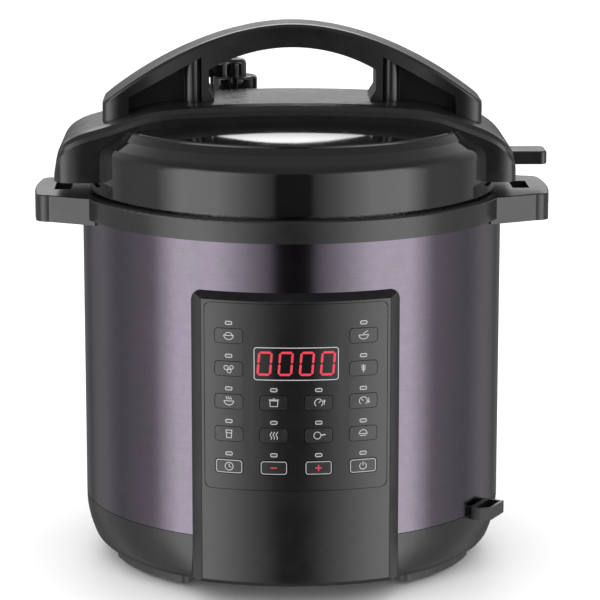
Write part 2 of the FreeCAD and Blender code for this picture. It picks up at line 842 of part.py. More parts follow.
# (x, how far the bar's top has fallen, half width) from wing to wing
bar_stations = [
    (-left_reach, 46.0, 33.0), (0.4 - left_reach, 43.5, 37.5), (1.8 - left_reach, 34.8, 41.0),
    (6.0 - left_reach, 25.5, 45.0), (15.6 - left_reach, 19.0, bar_half), (-124.5, 14.8, bar_half),
    (-110.0, 10.3, bar_half), (-96.0, 5.6, bar_half), (-65.0, 1.7, bar_half), (-30.0, 0.35, bar_half),
    (0.0, 0.0, bar_half), (30.0, 0.35, bar_half), (65.0, 1.7, bar_half), (96.0, 5.8, bar_half),
    (108.0, 10.2, bar_half), (right_reach - 20.0, 16.3, bar_half),
    (right_reach - 9.7, 22.8, bar_half), (right_reach - 2.0, 33.6, 43.5),
    (right_reach - 0.5, 41.8, 38.5), (right_reach, 46.0, 33.0),
]


def bar_block(inset):
    """The bar with its wings, drawn in by inset."""
    stations = []
    for x, drop, half in bar_stations:
        ease = 2.5 if drop > 40 else 8.5
        pulled = x * (1 - inset / left_reach)
        stations.append((pulled, bar_top - drop - inset, half - inset, ease))
    return ridge(stations, wing_low - inset)


def under_line(points, low, front, travel):
    """Everything between a smooth line (x, z) and low, pushed from front along travel."""
    line = Part.BSplineCurve()
    line.interpolate([V(x, front, z) for x, z in points])
    first, last = points[0], points[-1]
    floor_left, floor_right = V(first[0], front, low), V(last[0], front, low)
    wire = Part.Wire([
        line.toShape(), Part.makeLine(V(last[0], front, last[1]), floor_right),
        Part.makeLine(floor_right, floor_left), Part.makeLine(floor_left, V(first[0], front, first[1])),
    ])
    return Part.Face(wire).extrude(travel)


def under_handle():
    """Room for the bar's top below the handle."""
    reach = arch_half_span + 12
    points = [(x, bar_top - drop + handle_gap) for x, drop, half in bar_stations if abs(x) < reach]
    return under_line(points, lid_low, -60, V(0, 120, 0))


def lid_bar():
    outer = bar_block(0.0)
    inner = bar_block(bar_wall)
    shell = outer.fuse(lid_tongue()).removeSplitter().cut(group([lid_envelope(), inner]))
    tubes = []
    for x, y in screw_places:
        post = rod(5.0, dome_z(math.hypot(x, y)) - 1, bar_top - 1, x, y).common(outer)
        tubes.append(post.cut(lid_envelope()))
    holes = [rod(screw_radius + 0.2, lid_low, bar_top + 5, x, y) for x, y in screw_places]
    valve_room = rod(19.8, lid_low, bar_top + 30, valve_x, valve_y)
    return shell.fuse(tubes).removeSplitter().cut(group(holes + [valve_room]))


def lid_tongue():
    reach = right_reach + tongue_reach
    half = tongue_width / 2
    z = lid_low + 13.6
    c = 4.0
    d = c * (1 - math.sqrt(0.5))
    root = right_reach - 9
    pts = [
        (root, -half), (reach - c, -half), (reach - d, -half + d, reach, -half + c),
        (reach, half - c), (reach - d, half - d, reach - c, half), (root, half),
    ]
    solid = upright(pts, z, z + tongue_thick)
    return soften(solid, 1.2, lambda e: e.BoundBox.ZLength < 1e-3 and e.BoundBox.XMax > right_reach)


def arch_line(share):
    """Height of the arch's top at a share of its half span."""
    end = bar_top - 1.0
    return end + (arch_top - end) * (1 - share ** 1.9)


def arch_opening():
    """The hand opening seen from the front: a bowed top over upright sides that close in at the foot."""
    half, foot = opening_half_width, opening_half_width - 3.5
    under, corner, low = arch_top - arch_thick, arch_top - opening_corner_drop, bar_top - 20
    return [
        (-foot, low), (-foot, bar_top + 0.5), (-half, bar_top + 6), (-half, corner),
        (0, under, half, corner), (half, bar_top + 6), (foot, bar_top + 0.5), (foot, low),
    ]


def lid_handle():
    s = arch_half_span
    stations = []
    for share in (-1, -0.97, -0.9, -0.75, -0.6, -0.4, -0.2, 0, 0.2, 0.4, 0.6, 0.75, 0.9, 0.97, 1):
        spread = min(1.0, abs(share) / 0.8)
        half = arch_waist + (arch_foot - arch_waist) * spread ** 2
        if abs(share) > 0.95:
            half -= 1.5 if abs(share) < 1 else 5.0
        stations.append((s * share, arch_line(abs(share)), half, 3.2))
    body = ridge(stations, bar_top - 30)
    body = body.cut(across(arch_opening(), -60, 60))
    rib = opening_half_width + rib_wall
    foot = arch_half_span - foot_length
    pockets = []
    for side in (-1, 1):
        roof_in = arch_line(rib / s) - recess_roof
        roof_out = arch_line(foot / s) - recess_roof
        outline = [(side * rib, bar_top - 30), (side * foot, bar_top - 30), (side * foot, roof_out),
                   (side * rib, roof_in)]
        pockets.append(across(outline, -60, -web_half))
        pockets.append(across(outline, web_half, 60))
    bosses = []
    for x, y in screw_places:
        bosses.append(rod(boss_radius, bar_top - 30, arch_line(abs(x) / s) - recess_roof + 1, x, y))
    body = body.cut(group(pockets)).fuse(bosses).removeSplitter().cut(under_handle())
    holes = [rod(screw_radius, lid_low, bar_top + 10, x, y) for x, y in screw_places]
    return body.cut(group(holes))


def plate_top(r):
    """Upper surface of the steel lid plate at radius r."""
    outer, inner = plate_skirt_in - 11.5, 40.0
    if r > outer:
        return plate_under + skirt_wall
    share = min(1.0, (outer - r) / (outer - inner))
    return plate_under + skirt_wall + 6.0 * share


def lid_plate():
    w = skirt_wall
    under = plate_under
    shoulder = plate_skirt_in - 11.5
    plate = turned([
        (0, under + 6), (40, under + 6), (shoulder, under), (plate_skirt_in, under),
        (plate_skirt_in, plate_low), (plate_skirt_out, plate_low), (plate_skirt_out, under + w - 1),
        (plate_skirt_out - 1, under + w), (shoulder, under + w), (40, under + 6 + w), (0, under + 6 + w),
    ])
    lugs = []
    pitch = 360.0 / lug_count
    for i in range(lug_count):
        lugs.append(sector(plate_skirt_in + 0.2, lug_tip, 90 + pitch * i, lug_angle / 2, plate_low, lug_top))
    plate = plate.fuse(lugs).removeSplitter()
    holes = [rod(screw_radius + 0.2, plate_low, under + 30, x, y) for x, y in screw_places]
    holes.append(rod(pipe_radius, plate_low, under + 30, valve_x, valve_y))
    holes.append(rod(float_radius + 0.4, plate_low, under + 30, float_x, float_y))
    return plate.cut(group(holes))


def sealing_ring():
    out = plate_skirt_in - 0.4
    inner = out - 9.5
    return turned([
        (inner, seal_low + 2.0), (inner + 3.0, seal_low), (out, seal_low), (out, seal_top),
        (inner + 3.0, seal_top), (inner, seal_top - 2.0), (inner + 5.5, (seal_low + seal_top) / 2),
    ])


def ring_rack():
    out = plate_skirt_in - 10.6
    z = (seal_low + seal_top) / 2
    wire = Part.makeTorus(out - 1.2, 1.0, V(0, 0, z))
    clips = []
    for i in range(6):
        clip = block(out - 2.1, out - 0.5, -3, 3, z, plate_under)
        clips.append(spun(clip, 60 * i + 30))
    return joined(wire, *clips)


def steam_pipe():
    low = plate_under - 4
    top = dome_z(math.hypot(valve_x, valve_y)) + 12
    pipe = rod(pipe_radius, low, top, valve_x, valve_y)
    surface = plate_top(math.hypot(valve_x, valve_y))
    hexagon = [(valve_x + 7 * math.cos(math.radians(60 * i)), valve_y + 7 * math.sin(math.radians(60 * i)))
               for i in range(6)]
    nut = upright(hexagon, surface + 0.5, surface + 4)
    return pipe.fuse(nut).removeSplitter().cut(rod(1.6, low - 1, top + 1, valve_x, valve_y))


def steam_valve():
    """Weighted knob on the steam pipe: fluted skirt, domed head and a finger lever."""
    surface = dome_z(math.hypot(valve_x, valve_y))
    low, mid, top = surface + 2.2, bar_top + 5.5, bar_top + 17.0
    skirt_radius, head_radius, flutes = 15.8, 8.6, 6

    def at_height(z):
        return lambda e: abs(e.BoundBox.ZMin - z) < 1e-3 and e.BoundBox.ZLength < 1e-3

    skirt = soften(rod(skirt_radius, low, mid, valve_x, valve_y), 2.0, at_height(mid))
    grooves = []
    for i in range(flutes):
        a = 2 * math.pi * (i + 0.5) / flutes
        x = valve_x + (skirt_radius + 2.4) * math.cos(a)
        y = valve_y + (skirt_radius + 2.4) * math.sin(a)
        grooves.append(rod(4.0, low - 1, mid + 1, x, y))
    head = soften(rod(head_radius, mid - 1, top, valve_x, valve_y), 3.6, at_height(top))
    lever = block(valve_x - 19, valve_x, valve_y - 4.5, valve_y + 4.5, mid - 1, top - 4)
    lever = soften(lever, 4.0, lambda e: is_upright(e) and e.BoundBox.XMax < valve_x - 5)
    bore = rod(pipe_radius + running, low - 1, steam_pipe_top() + 1.5, valve_x, valve_y)
    vents = []
    for i in range(4):
        a = math.radians(90 * i)
        slot = Part.makeCylinder(1.2, 20, V(valve_x, valve_y, low + 5), V(math.cos(a), math.sin(a), 0))
        vents.append(slot)
    return joined(skirt.cut(group(grooves)), head, lever).cut(group([bore] + vents))


def steam_pipe_top():
    return dome_z(math.hypot(valve_x, valve_y)) + 12


def anti_block_shield():
    z = plate_under
    r = 11.0
    cap = tube(r, r - 1.2, z - 14, z + 6, valve_x, valve_y).fuse(rod(r, z - 15.2, z - 14, valve_x, valve_y))
    above = turned([(0, z + 6), (40, z + 6), (plate_skirt_in - 11.5, z), (plate_skirt_in, z),
                    (plate_skirt_in, z + 20), (0, z + 20)])
    cap = cap.cut(above)
    slots = []
    for i in range(6):
        slot = block(-1.2, 1.2, -r - 2, r + 2, z - 12, z - 4)
        slots.append(moved(spun(slot, 30 * i), valve_x, valve_y))
    return cap.removeSplitter().cut(group(slots))


float_radius = 3.2


def float_valve():
    surface = plate_top(math.hypot(float_x, float_y))
    top = dome_z(math.hypot(float_x, float_y)) - 5.5
    under = surface - skirt_wall
    pin = rod(float_radius, under - 4.5, top, float_x, float_y)
    collar = rod(5.0, surface + 0.6, surface + 2.4, float_x, float_y)
    head = rod(4.6, top - 3, top, float_x, float_y)
    return joined(pin, collar, head)


def float_gasket():
    surface = plate_top(math.hypot(float_x, float_y))
    low = surface - skirt_wall - 4.5 - 2.2
    cap = rod(5.4, low, low + 2.2, float_x, float_y)
    lip = rod(4.2, low - 0.8, low, float_x, float_y)
    return joined(cap, lip)


screw_radius = 2.0
screw_places = [(x, y) for x in (-64.0, 64.0) for y in (-12.0, 12.0)]


def handle_screws():
    screws = []
    for x, y in screw_places:
        r = math.hypot(x, y)
        under = plate_top(r) - skirt_wall - 0.6
        head = rod(4.0, under - 2.2, under, x, y)
        screws.append(head.fuse(rod(screw_radius, under, bar_top + 2, x, y)).removeSplitter())
    return group(screws)


# ---- places that several pieces share ----
bowl_opening = shell_radius - 33.0
foot_angles = [35.0, 145.0, 215.0, 325.0]
ladle_angle = -28.0
cup_top = shell_top - 1.0
rail_end = shell_radius + 9.5
hot_floor = hot_top - hot_thick - 7.0
liner_hole = 62.0
probe_hole = 15.0
spring_seat = hot_floor - 9.0

nodes = {
    "outer_shell": outer_shell, "base_bowl": base_bowl, "bottom_cover": bottom_cover,
    "rubber_feet": rubber_feet, "base_screws": base_screws, "upper_ring": upper_ring,
    "panel_housing": panel_housing, "control_overlay": control_overlay,
    "display_window": display_window, "display_module": display_module,
    "indicator_lenses": indicator_lenses, "control_board": control_board,
    "tact_switches": tact_switches, "liner": liner, "heating_plate": heating_plate,
    "heater_terminals": heater_terminals, "temperature_probe": temperature_probe,
    "probe_spring": probe_spring, "spring_plate": spring_plate, "pressure_switch": pressure_switch,
    "thermal_fuse": thermal_fuse, "power_board": power_board, "power_parts": power_parts,
    "power_inlet": power_inlet, "inlet_pins": inlet_pins, "ladle_holder": ladle_holder,
    "cup_bracket": cup_bracket, "condensation_cup": condensation_cup, "inner_pot": inner_pot,
    "lid_cover": lid_cover, "lid_bar": lid_bar, "lid_handle": lid_handle, "lid_plate": lid_plate,
    "sealing_ring": sealing_ring, "ring_rack": ring_rack, "steam_pipe": steam_pipe,
    "steam_valve": steam_valve, "anti_block_shield": anti_block_shield, "float_valve": float_valve,
    "float_gasket": float_gasket, "handle_screws": handle_screws,
}
for node, make in nodes.items():
    save(node, make())
for name, x, z in key_places():
    save(name, key(x, z - lens_to_key))
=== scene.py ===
import math
import bmesh
import bpy
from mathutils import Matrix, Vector


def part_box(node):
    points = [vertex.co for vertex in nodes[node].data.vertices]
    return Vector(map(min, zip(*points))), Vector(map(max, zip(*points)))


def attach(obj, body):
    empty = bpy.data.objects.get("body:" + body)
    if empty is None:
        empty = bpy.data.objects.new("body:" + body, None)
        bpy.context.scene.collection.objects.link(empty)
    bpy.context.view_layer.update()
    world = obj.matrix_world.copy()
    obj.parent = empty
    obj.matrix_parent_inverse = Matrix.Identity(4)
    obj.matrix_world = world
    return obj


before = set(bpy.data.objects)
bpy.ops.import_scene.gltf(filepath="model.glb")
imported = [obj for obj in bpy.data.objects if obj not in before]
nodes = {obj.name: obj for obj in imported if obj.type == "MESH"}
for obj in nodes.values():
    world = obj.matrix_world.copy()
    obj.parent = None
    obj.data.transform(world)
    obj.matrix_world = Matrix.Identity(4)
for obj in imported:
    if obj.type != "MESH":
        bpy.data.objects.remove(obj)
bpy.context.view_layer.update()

mm = 0.001
print("frame loaded,", len(nodes), "nodes")


def fresh(name):
    mat = bpy.data.materials.new(name)
    mat.use_nodes = True
    tree = mat.node_tree
    tree.nodes.clear()
    out = tree.nodes.new("ShaderNodeOutputMaterial")
    shader = tree.nodes.new("ShaderNodeBsdfPrincipled")
    tree.links.new(shader.outputs["BSDF"], out.inputs["Surface"])
    return mat, tree, shader


def groupTree(name, ins, outs):
    tree = bpy.data.node_groups.new(name, "ShaderNodeTree")
    for label, default in ins:
        socket = tree.interface.new_socket(label, in_out="INPUT", socket_type="NodeSocketFloat")
        socket.default_value = default
    for label in outs:
        tree.interface.new_socket(label, in_out="OUTPUT", socket_type="NodeSocketFloat")
    return tree, tree.nodes.new("NodeGroupInput").outputs, tree.nodes.new("NodeGroupOutput").inputs


def place(tree, group, values):
    node = tree.nodes.new("ShaderNodeGroup")
    node.node_tree = group
    for label, value in values.items():
        node.inputs[label].default_value = value
    return node.outputs


def feed(tree, slot, value):
    # numbers and colours are set on the socket itself, anything else is linked
    if isinstance(value, tuple):
        slot.default_value = (*value, 1)
    elif isinstance(value, (int, float)):
        slot.default_value = value
    else:
        tree.links.new(value, slot)


def mathNode(tree, operation, first, second=None):
    node = tree.nodes.new("ShaderNodeMath")
    node.operation = operation
    feed(tree, node.inputs[0], first)
    if second is not None:
        feed(tree, node.inputs[1], second)
    return node.outputs[0]


def times(tree, first, second):
    return mathNode(tree, "MULTIPLY", first, second)


def plus(tree, first, second):
    return mathNode(tree, "ADD", first, second)


def mixColor(tree, factor, first, second):
    node = tree.nodes.new("ShaderNodeMix")
    node.data_type = "RGBA"
    for slot, value in ((0, factor), (6, first), (7, second)):  # 6 and 7 are the colour sockets
        feed(tree, node.inputs[slot], value)
    return node.outputs[2]


def spread(tree, value, low, high, toLow=0.0, toHigh=1.0):
    node = tree.nodes.new("ShaderNodeMapRange")
    labels = ("Value", "From Min", "From Max", "To Min", "To Max")
    for label, number in zip(labels, (value, low, high, toLow, toHigh)):
        feed(tree, node.inputs[label], number)
    return node.outputs["Result"]


def noiseNode(tree, vector, scale, detail, roughness=0.5):
    node = tree.nodes.new("ShaderNodeTexNoise")
    labels = ("Vector", "Scale", "Detail", "Roughness")
    for label, value in zip(labels, (vector, scale, detail, roughness)):
        feed(tree, node.inputs[label], value)
    return node.outputs["Fac"]


def objectCoord(tree):
    return tree.nodes.new("ShaderNodeTexCoord").outputs["Object"]


def splitVector(tree, vector):
    node = tree.nodes.new("ShaderNodeSeparateXYZ")
    tree.links.new(vector, node.inputs[0])
    return node.outputs["X"], node.outputs["Y"], node.outputs["Z"]


def addBump(tree, shader, height, strength, distance):
    bump = tree.nodes.new("ShaderNodeBump")
    bump.inputs["Strength"].default_value = strength
    bump.inputs["Distance"].default_value = distance
    tree.links.new(height, bump.inputs["Height"])
    tree.links.new(bump.outputs["Normal"], shader.inputs["Normal"])


def dress(mat, *pieces):
    for piece in pieces:
        mesh = nodes[piece].data
        if not mesh.materials:
            mesh.materials.append(mat)
        for index in range(len(mesh.materials)):
            mesh.materials[index] = mat


# moulded skin: fine grain, slow waviness, and patches that are a little rougher
skinLook = {"grainDetail": 3.0, "waveDetail": 2.0, "smearScale": 38.0, "smearDetail": 5.0,
            "smearBreak": 0.62, "smearRange": (0.3, 0.7)}


def buildSkin(look):
    tree, enter, leave = groupTree(
        "mouldedSkin",
        [("Grain Scale", 900.0), ("Grain Depth", 0.02), ("Wave Scale", 14.0),
         ("Wave Depth", 0.05), ("Rough Low", 0.12), ("Rough High", 0.2)],
        ["Height", "Roughness", "Mottle"])
    coord = objectCoord(tree)
    grain = noiseNode(tree, coord, enter["Grain Scale"], look["grainDetail"])
    wave = noiseNode(tree, coord, enter["Wave Scale"], look["waveDetail"])
    smear = noiseNode(tree, coord, look["smearScale"], look["smearDetail"], look["smearBreak"])
    fine = times(tree, grain, enter["Grain Depth"])
    slow = times(tree, wave, enter["Wave Depth"])
    rough = spread(tree, smear, *look["smearRange"], enter["Rough Low"], enter["Rough High"])
    tree.links.new(plus(tree, fine, slow), leave["Height"])
    tree.links.new(rough, leave["Roughness"])
    tree.links.new(smear, leave["Mottle"])
    return tree


# edges rubbed pale by hands, broken up so the line isn't even
wearLook = {"edgeRange": (0.51, 0.6), "patchScale": 160.0, "patchDetail": 4.0, "patchBreak": 0.6,
            "patchRange": (0.42, 0.68)}


def buildWear(look):
    tree, enter, leave = groupTree("edgeWear", [("Width", 0.5), ("Amount", 0.5)], ["Mask"])
    geometry = tree.nodes.new("ShaderNodeNewGeometry")
    coord = objectCoord(tree)
    patchy = noiseNode(tree, coord, look["patchScale"], look["patchDetail"], look["patchBreak"])
    edge = spread(tree, geometry.outputs["Pointiness"], *look["edgeRange"])
    edge = mathNode(tree, "POWER", edge, enter["Width"])
    mask = times(tree, edge, spread(tree, patchy, *look["patchRange"]))
    tree.links.new(times(tree, mask, enter["Amount"]), leave["Mask"])
    return tree


# dust that lies only on faces that look upward
dustLook = {"upRange": (0.35, 1.0), "speckDetail": 6.0, "speckBreak": 0.7, "speckRange": (0.55, 0.75),
            "color": (0.4, 0.39, 0.37)}


def buildDust(look):
    tree, enter, leave = groupTree("settledDust", [("Amount", 0.1), ("Scale", 240.0)], ["Mask"])
    geometry = tree.nodes.new("ShaderNodeNewGeometry")
    facing = splitVector(tree, geometry.outputs["Normal"])[2]
    coord = objectCoord(tree)
    specks = noiseNode(tree, coord, enter["Scale"], look["speckDetail"], look["speckBreak"])
    upward = spread(tree, facing, *look["upRange"])
    mask = times(tree, upward, spread(tree, specks, *look["speckRange"]))
    tree.links.new(times(tree, mask, enter["Amount"]), leave["Mask"])
    return tree


# drawn or rolled metal: long fine lines running round the axis, with smudges
grainLook = {"lineDetail": 4.0, "lineBreak": 0.6, "smudgeScale": 22.0, "smudgeDetail": 5.0,
             "smudgeBreak": 0.6, "smudgeRange": (0.3, 0.7)}


def buildMetal(look):
    tree, enter, leave = groupTree(
        "metalGrain",
        [("Along", 6.0), ("Across", 900.0), ("Depth", 0.1), ("Rough Low", 0.2),
         ("Rough High", 0.3), ("Turned", 0.0)],
        ["Height", "Roughness", "Streak", "Smudge"])
    coord = objectCoord(tree)
    x, y, z = splitVector(tree, coord)
    angle = mathNode(tree, "ARCTAN2", y, x)
    squares = plus(tree, mathNode(tree, "POWER", x, 2.0), mathNode(tree, "POWER", y, 2.0))
    radius = mathNode(tree, "SQRT", squares)
    level = plus(tree, times(tree, radius, enter["Turned"]), z)
    join = tree.nodes.new("ShaderNodeCombineXYZ")
    tree.links.new(times(tree, angle, enter["Along"]), join.inputs["X"])
    tree.links.new(times(tree, level, enter["Across"]), join.inputs["Z"])
    lines = noiseNode(tree, join.outputs[0], 1.0, look["lineDetail"], look["lineBreak"])
    smudge = noiseNode(
        tree, coord, look["smudgeScale"], look["smudgeDetail"], look["smudgeBreak"])
    rough = spread(tree, smudge, *look["smudgeRange"], enter["Rough Low"], enter["Rough High"])
    tree.links.new(times(tree, lines, enter["Depth"]), leave["Height"])
    tree.links.new(rough, leave["Roughness"])
    tree.links.new(lines, leave["Streak"])
    tree.links.new(smudge, leave["Smudge"])
    return tree


skinGroup, wearGroup = buildSkin(skinLook), buildWear(wearLook)
dustGroup, metalGroup = buildDust(dustLook), buildMetal(grainLook)
print("shader groups built")


# what a finish has unless its own dictionary says otherwise
plasticBasics = {"grainScale": 900.0, "grainDepth": 0.02, "waveDepth": 0.04, "mottle": 1.25,
                 "wear": 0.25, "dust": 0.05, "bump": 0.25, "bumpDepth": 0.001,
                 "subsurface": 0.0, "scatterDepth": 0.002}
metalBasics = {"along": 6.0, "across": 900.0, "depth": 0.1, "turned": 0.0, "wear": 0.3,
               "wornBrightness": 1.7, "streak": (0.86, 1.14), "tint": 0.3,
               "tintRange": (0.35, 0.75), "bump": 0.2, "bumpDepth": 0.0004}


def shaded(color, factor, lift=0.0):
    return tuple(min(1.0, c * factor + lift) for c in color)


def plastic(name, look):
    look = {**plasticBasics, **look}
    mat, tree, shader = fresh(name)
    roughLow, roughHigh = look["rough"]
    skin = place(tree, skinGroup, {
        "Grain Scale": look["grainScale"], "Grain Depth": look["grainDepth"],
        "Wave Depth": look["waveDepth"], "Rough Low": roughLow, "Rough High": roughHigh})
    rubbed = place(tree, wearGroup, {"Width": 1.0, "Amount": look["wear"]})
    dust = place(tree, dustGroup, {"Amount": look["dust"]})
    base = look["color"]
    wornColor = look.get("wornColor", shaded(base, 2, 0.03))
    color = mixColor(tree, skin["Mottle"], base, shaded(base, look["mottle"], 0.001))
    color = mixColor(tree, rubbed["Mask"], color, wornColor)
    color = mixColor(tree, dust["Mask"], color, dustLook["color"])
    tree.links.new(color, shader.inputs["Base Color"])
    tree.links.new(skin["Roughness"], shader.inputs["Roughness"])
    if look["subsurface"]:
        shader.inputs["Subsurface Weight"].default_value = look["subsurface"]
        shader.inputs["Subsurface Scale"].default_value = look["scatterDepth"]
    addBump(tree, shader, skin["Height"], look["bump"], look["bumpDepth"])
    return mat


def metal(name, look):
    look = {**metalBasics, **look}
    mat, tree, shader = fresh(name)
    roughLow, roughHigh = look["rough"]
    grain = place(tree, metalGroup, {
        "Along": look["along"], "Across": look["across"], "Depth": look["depth"],
        "Rough Low": roughLow, "Rough High": roughHigh, "Turned": look["turned"]})
    rubbed = place(tree, wearGroup, {"Width": 1.0, "Amount": look["wear"]})
    base = look["color"]
    darkLine, paleLine = (shaded(base, factor) for factor in look["streak"])
    stain = spread(tree, grain["Smudge"], *look["tintRange"], 0.0, look["tint"])
    color = mixColor(tree, grain["Streak"], darkLine, paleLine)
    color = mixColor(tree, stain, color, look.get("tintColor", base))
    color = mixColor(tree, rubbed["Mask"], color, shaded(base, look["wornBrightness"]))
    tree.links.new(color, shader.inputs["Base Color"])
    shader.inputs["Metallic"].default_value = 1.0
    tree.links.new(grain["Roughness"], shader.inputs["Roughness"])
    addBump(tree, shader, grain["Height"], look["bump"], look["bumpDepth"])
    return mat


shellLook = {"color": (0.108, 0.096, 0.116), "tintColor": (0.125, 0.098, 0.14), "tint": 0.5,
             "rough": (0.13, 0.17), "along": 5.0, "across": 1500.0, "depth": 0.06,
             "bump": 0.12, "wear": 0.1}
dress(metal("violetGreySteel", shellLook), "outer_shell")

glossLook = {"color": (0.004, 0.004, 0.0045), "rough": (0.04, 0.08), "wear": 0.06, "dust": 0.008,
             "bump": 0.06, "waveDepth": 0.02, "grainDepth": 0.004}
dress(plastic("glossyBlackPlastic", glossLook), "lid_cover", "steam_valve")

mouldedLook = {"color": (0.005, 0.005, 0.0055), "rough": (0.2, 0.3), "wear": 0.1, "dust": 0.012,
               "bump": 0.1, "waveDepth": 0.004, "grainDepth": 0.012}
dress(plastic("mouldedBlackPlastic", mouldedLook), "lid_bar", "lid_handle", "panel_housing")

satinLook = {"color": (0.006, 0.006, 0.0065), "rough": (0.22, 0.32), "wear": 0.12, "dust": 0.015,
             "bump": 0.14}
dress(plastic("satinBlackPlastic", satinLook), "upper_ring", "base_bowl", "ladle_holder",
      "cup_bracket")

undersideLook = {"color": (0.02, 0.02, 0.02), "rough": (0.45, 0.6), "wear": 0.2,
                 "grainScale": 1400.0, "grainDepth": 0.06, "bump": 0.5}
dress(plastic("undersidePlastic", undersideLook), "bottom_cover", "power_inlet")

footLook = {"color": (0.018, 0.018, 0.018), "rough": (0.7, 0.85), "wear": 0.4,
            "wornColor": (0.07, 0.07, 0.068), "grainScale": 2000.0, "grainDepth": 0.06, "bump": 0.6}
dress(plastic("footRubber", footLook), "rubber_feet")
print("covers finished")


linerLook = {"color": (0.55, 0.55, 0.56), "rough": (0.22, 0.32), "along": 4.0, "bump": 0.25,
             "turned": 0.6, "wear": 0.2}
dress(metal("drawnLinerSteel", linerLook), "liner")

lidSteelLook = {"color": (0.62, 0.62, 0.63), "rough": (0.12, 0.2), "along": 3.0, "across": 700.0,
                "bump": 0.15, "turned": 1.0, "wear": 0.2}
dress(metal("polishedLidSteel", lidSteelLook), "lid_plate", "steam_pipe", "anti_block_shield",
      "float_valve")

heaterLook = {"color": (0.52, 0.52, 0.54), "tintColor": (0.42, 0.38, 0.33), "tint": 0.5,
              "rough": (0.35, 0.5), "along": 2.0, "across": 2200.0, "turned": 1.0, "depth": 0.3,
              "bump": 0.5}
dress(metal("castAluminium", heaterLook), "heating_plate")

probeLook = {"color": (0.72, 0.72, 0.74), "rough": (0.2, 0.3), "turned": 1.0, "across": 1800.0,
             "depth": 0.2}
dress(metal("probeCap", probeLook), "temperature_probe")

fixingLook = {"color": (0.55, 0.54, 0.52), "rough": (0.28, 0.4), "across": 500.0}
dress(metal("fixingSteel", fixingLook), "base_screws", "handle_screws", "ring_rack",
      "spring_plate", "heater_terminals", "probe_spring")

pinLook = {"color": (0.7, 0.66, 0.55), "rough": (0.2, 0.32), "across": 600.0}
dress(metal("platedPins", pinLook), "inlet_pins")


# pot: dark coating inside with pale specks, bare spun metal outside
potLook = {"coating": (0.022, 0.022, 0.024), "speck": (0.3, 0.3, 0.3), "speckScale": 420.0,
           "speckSize": 0.16, "bare": (0.6, 0.6, 0.62), "bareStreak": 1.15, "metallic": 0.95,
           "bump": 0.25, "outsideRange": (0.004, 0.008), "floorShare": -0.02,
           "grain": {"Along": 3.0, "Across": 900.0, "Depth": 0.12, "Rough Low": 0.25,
                     "Rough High": 0.38, "Turned": 1.0}}


def potFinish(look):
    mat, tree, shader = fresh("speckledPotCoating")
    coord = objectCoord(tree)
    x, y, _ = splitVector(tree, coord)
    geometry = tree.nodes.new("ShaderNodeNewGeometry")
    faceX, faceY, faceZ = splitVector(tree, geometry.outputs["Normal"])
    outward = plus(tree, times(tree, x, faceX), times(tree, y, faceY))
    outward = plus(tree, outward, times(tree, faceZ, look["floorShare"]))
    outside = spread(tree, outward, *look["outsideRange"])
    specks = tree.nodes.new("ShaderNodeTexVoronoi")
    specks.inputs["Scale"].default_value = look["speckScale"]
    tree.links.new(coord, specks.inputs["Vector"])
    dots = spread(tree, specks.outputs["Distance"], 0.0, look["speckSize"], 1.0, 0.0)
    dark = mixColor(tree, dots, look["coating"], look["speck"])
    grain = place(tree, metalGroup, look["grain"])
    bare = mixColor(tree, grain["Streak"], look["bare"], shaded(look["bare"], look["bareStreak"]))
    tree.links.new(mixColor(tree, outside, dark, bare), shader.inputs["Base Color"])
    tree.links.new(times(tree, outside, look["metallic"]), shader.inputs["Metallic"])
    tree.links.new(grain["Roughness"], shader.inputs["Roughness"])
    addBump(tree, shader, grain["Height"], look["bump"], metalBasics["bumpDepth"])
    return mat


dress(potFinish(potLook), "inner_pot")
print("metal finished")


siliconeLook = {"color": (0.62, 0.61, 0.57), "rough": (0.4, 0.55), "subsurface": 0.4, "wear": 0.0,
                "bump": 0.3, "grainScale": 600.0}
dress(plastic("milkySilicone", siliconeLook), "sealing_ring", "float_gasket")

componentLook = {"color": (0.05, 0.05, 0.055), "rough": (0.4, 0.55), "grainScale": 1200.0,
                 "bump": 0.3}
dress(plastic("componentPlastic", componentLook), "tact_switches", "power_parts",
      "pressure_switch", "thermal_fuse", "display_module")

lensLook = {"color": (0.045, 0.045, 0.05), "rough": (0.2, 0.3), "wear": 0.0, "dust": 0.0}
dress(plastic("milkyLens", lensLook), "indicator_lenses")

cupLook = {"color": (0.05, 0.052, 0.056), "rough": (0.12, 0.22), "wear": 0.2}
dress(plastic("smokedCup", cupLook), "condensation_cup")

overlayLook = {"color": (0.005, 0.005, 0.0058), "rough": (0.2, 0.26), "wear": 0.0, "dust": 0.0,
               "bump": 0.1, "grainScale": 1800.0, "grainDepth": 0.01}
dress(plastic("overlayFilm", overlayLook), "control_overlay")

windowLook = {"color": (0.006, 0.006, 0.007), "rough": (0.06, 0.1), "wear": 0.0, "dust": 0.0,
              "bump": 0.05, "grainDepth": 0.004}
dress(plastic("smokedWindow", windowLook), "display_window")

keyLook = {"color": (0.007, 0.007, 0.008), "rough": (0.24, 0.32), "wear": 0.2, "dust": 0.0,
           "bump": 0.2, "grainScale": 1800.0}
keyNames = [name for name in nodes if name.startswith("key_")]
dress(plastic("keyPlastic", keyLook), *keyNames)


# boards: green lacquer with copper tracks showing through
boardLook = {"cellScale": 160.0, "lacquer": (0.012, 0.075, 0.03), "track": (0.03, 0.14, 0.05),
             "trackRange": (0.04, 0.07), "rough": (0.25, 0.4), "cloudScale": 60.0,
             "cloudDetail": 4.0, "cloudRange": (0.3, 0.7), "bump": 0.3, "bumpDepth": 0.0002}


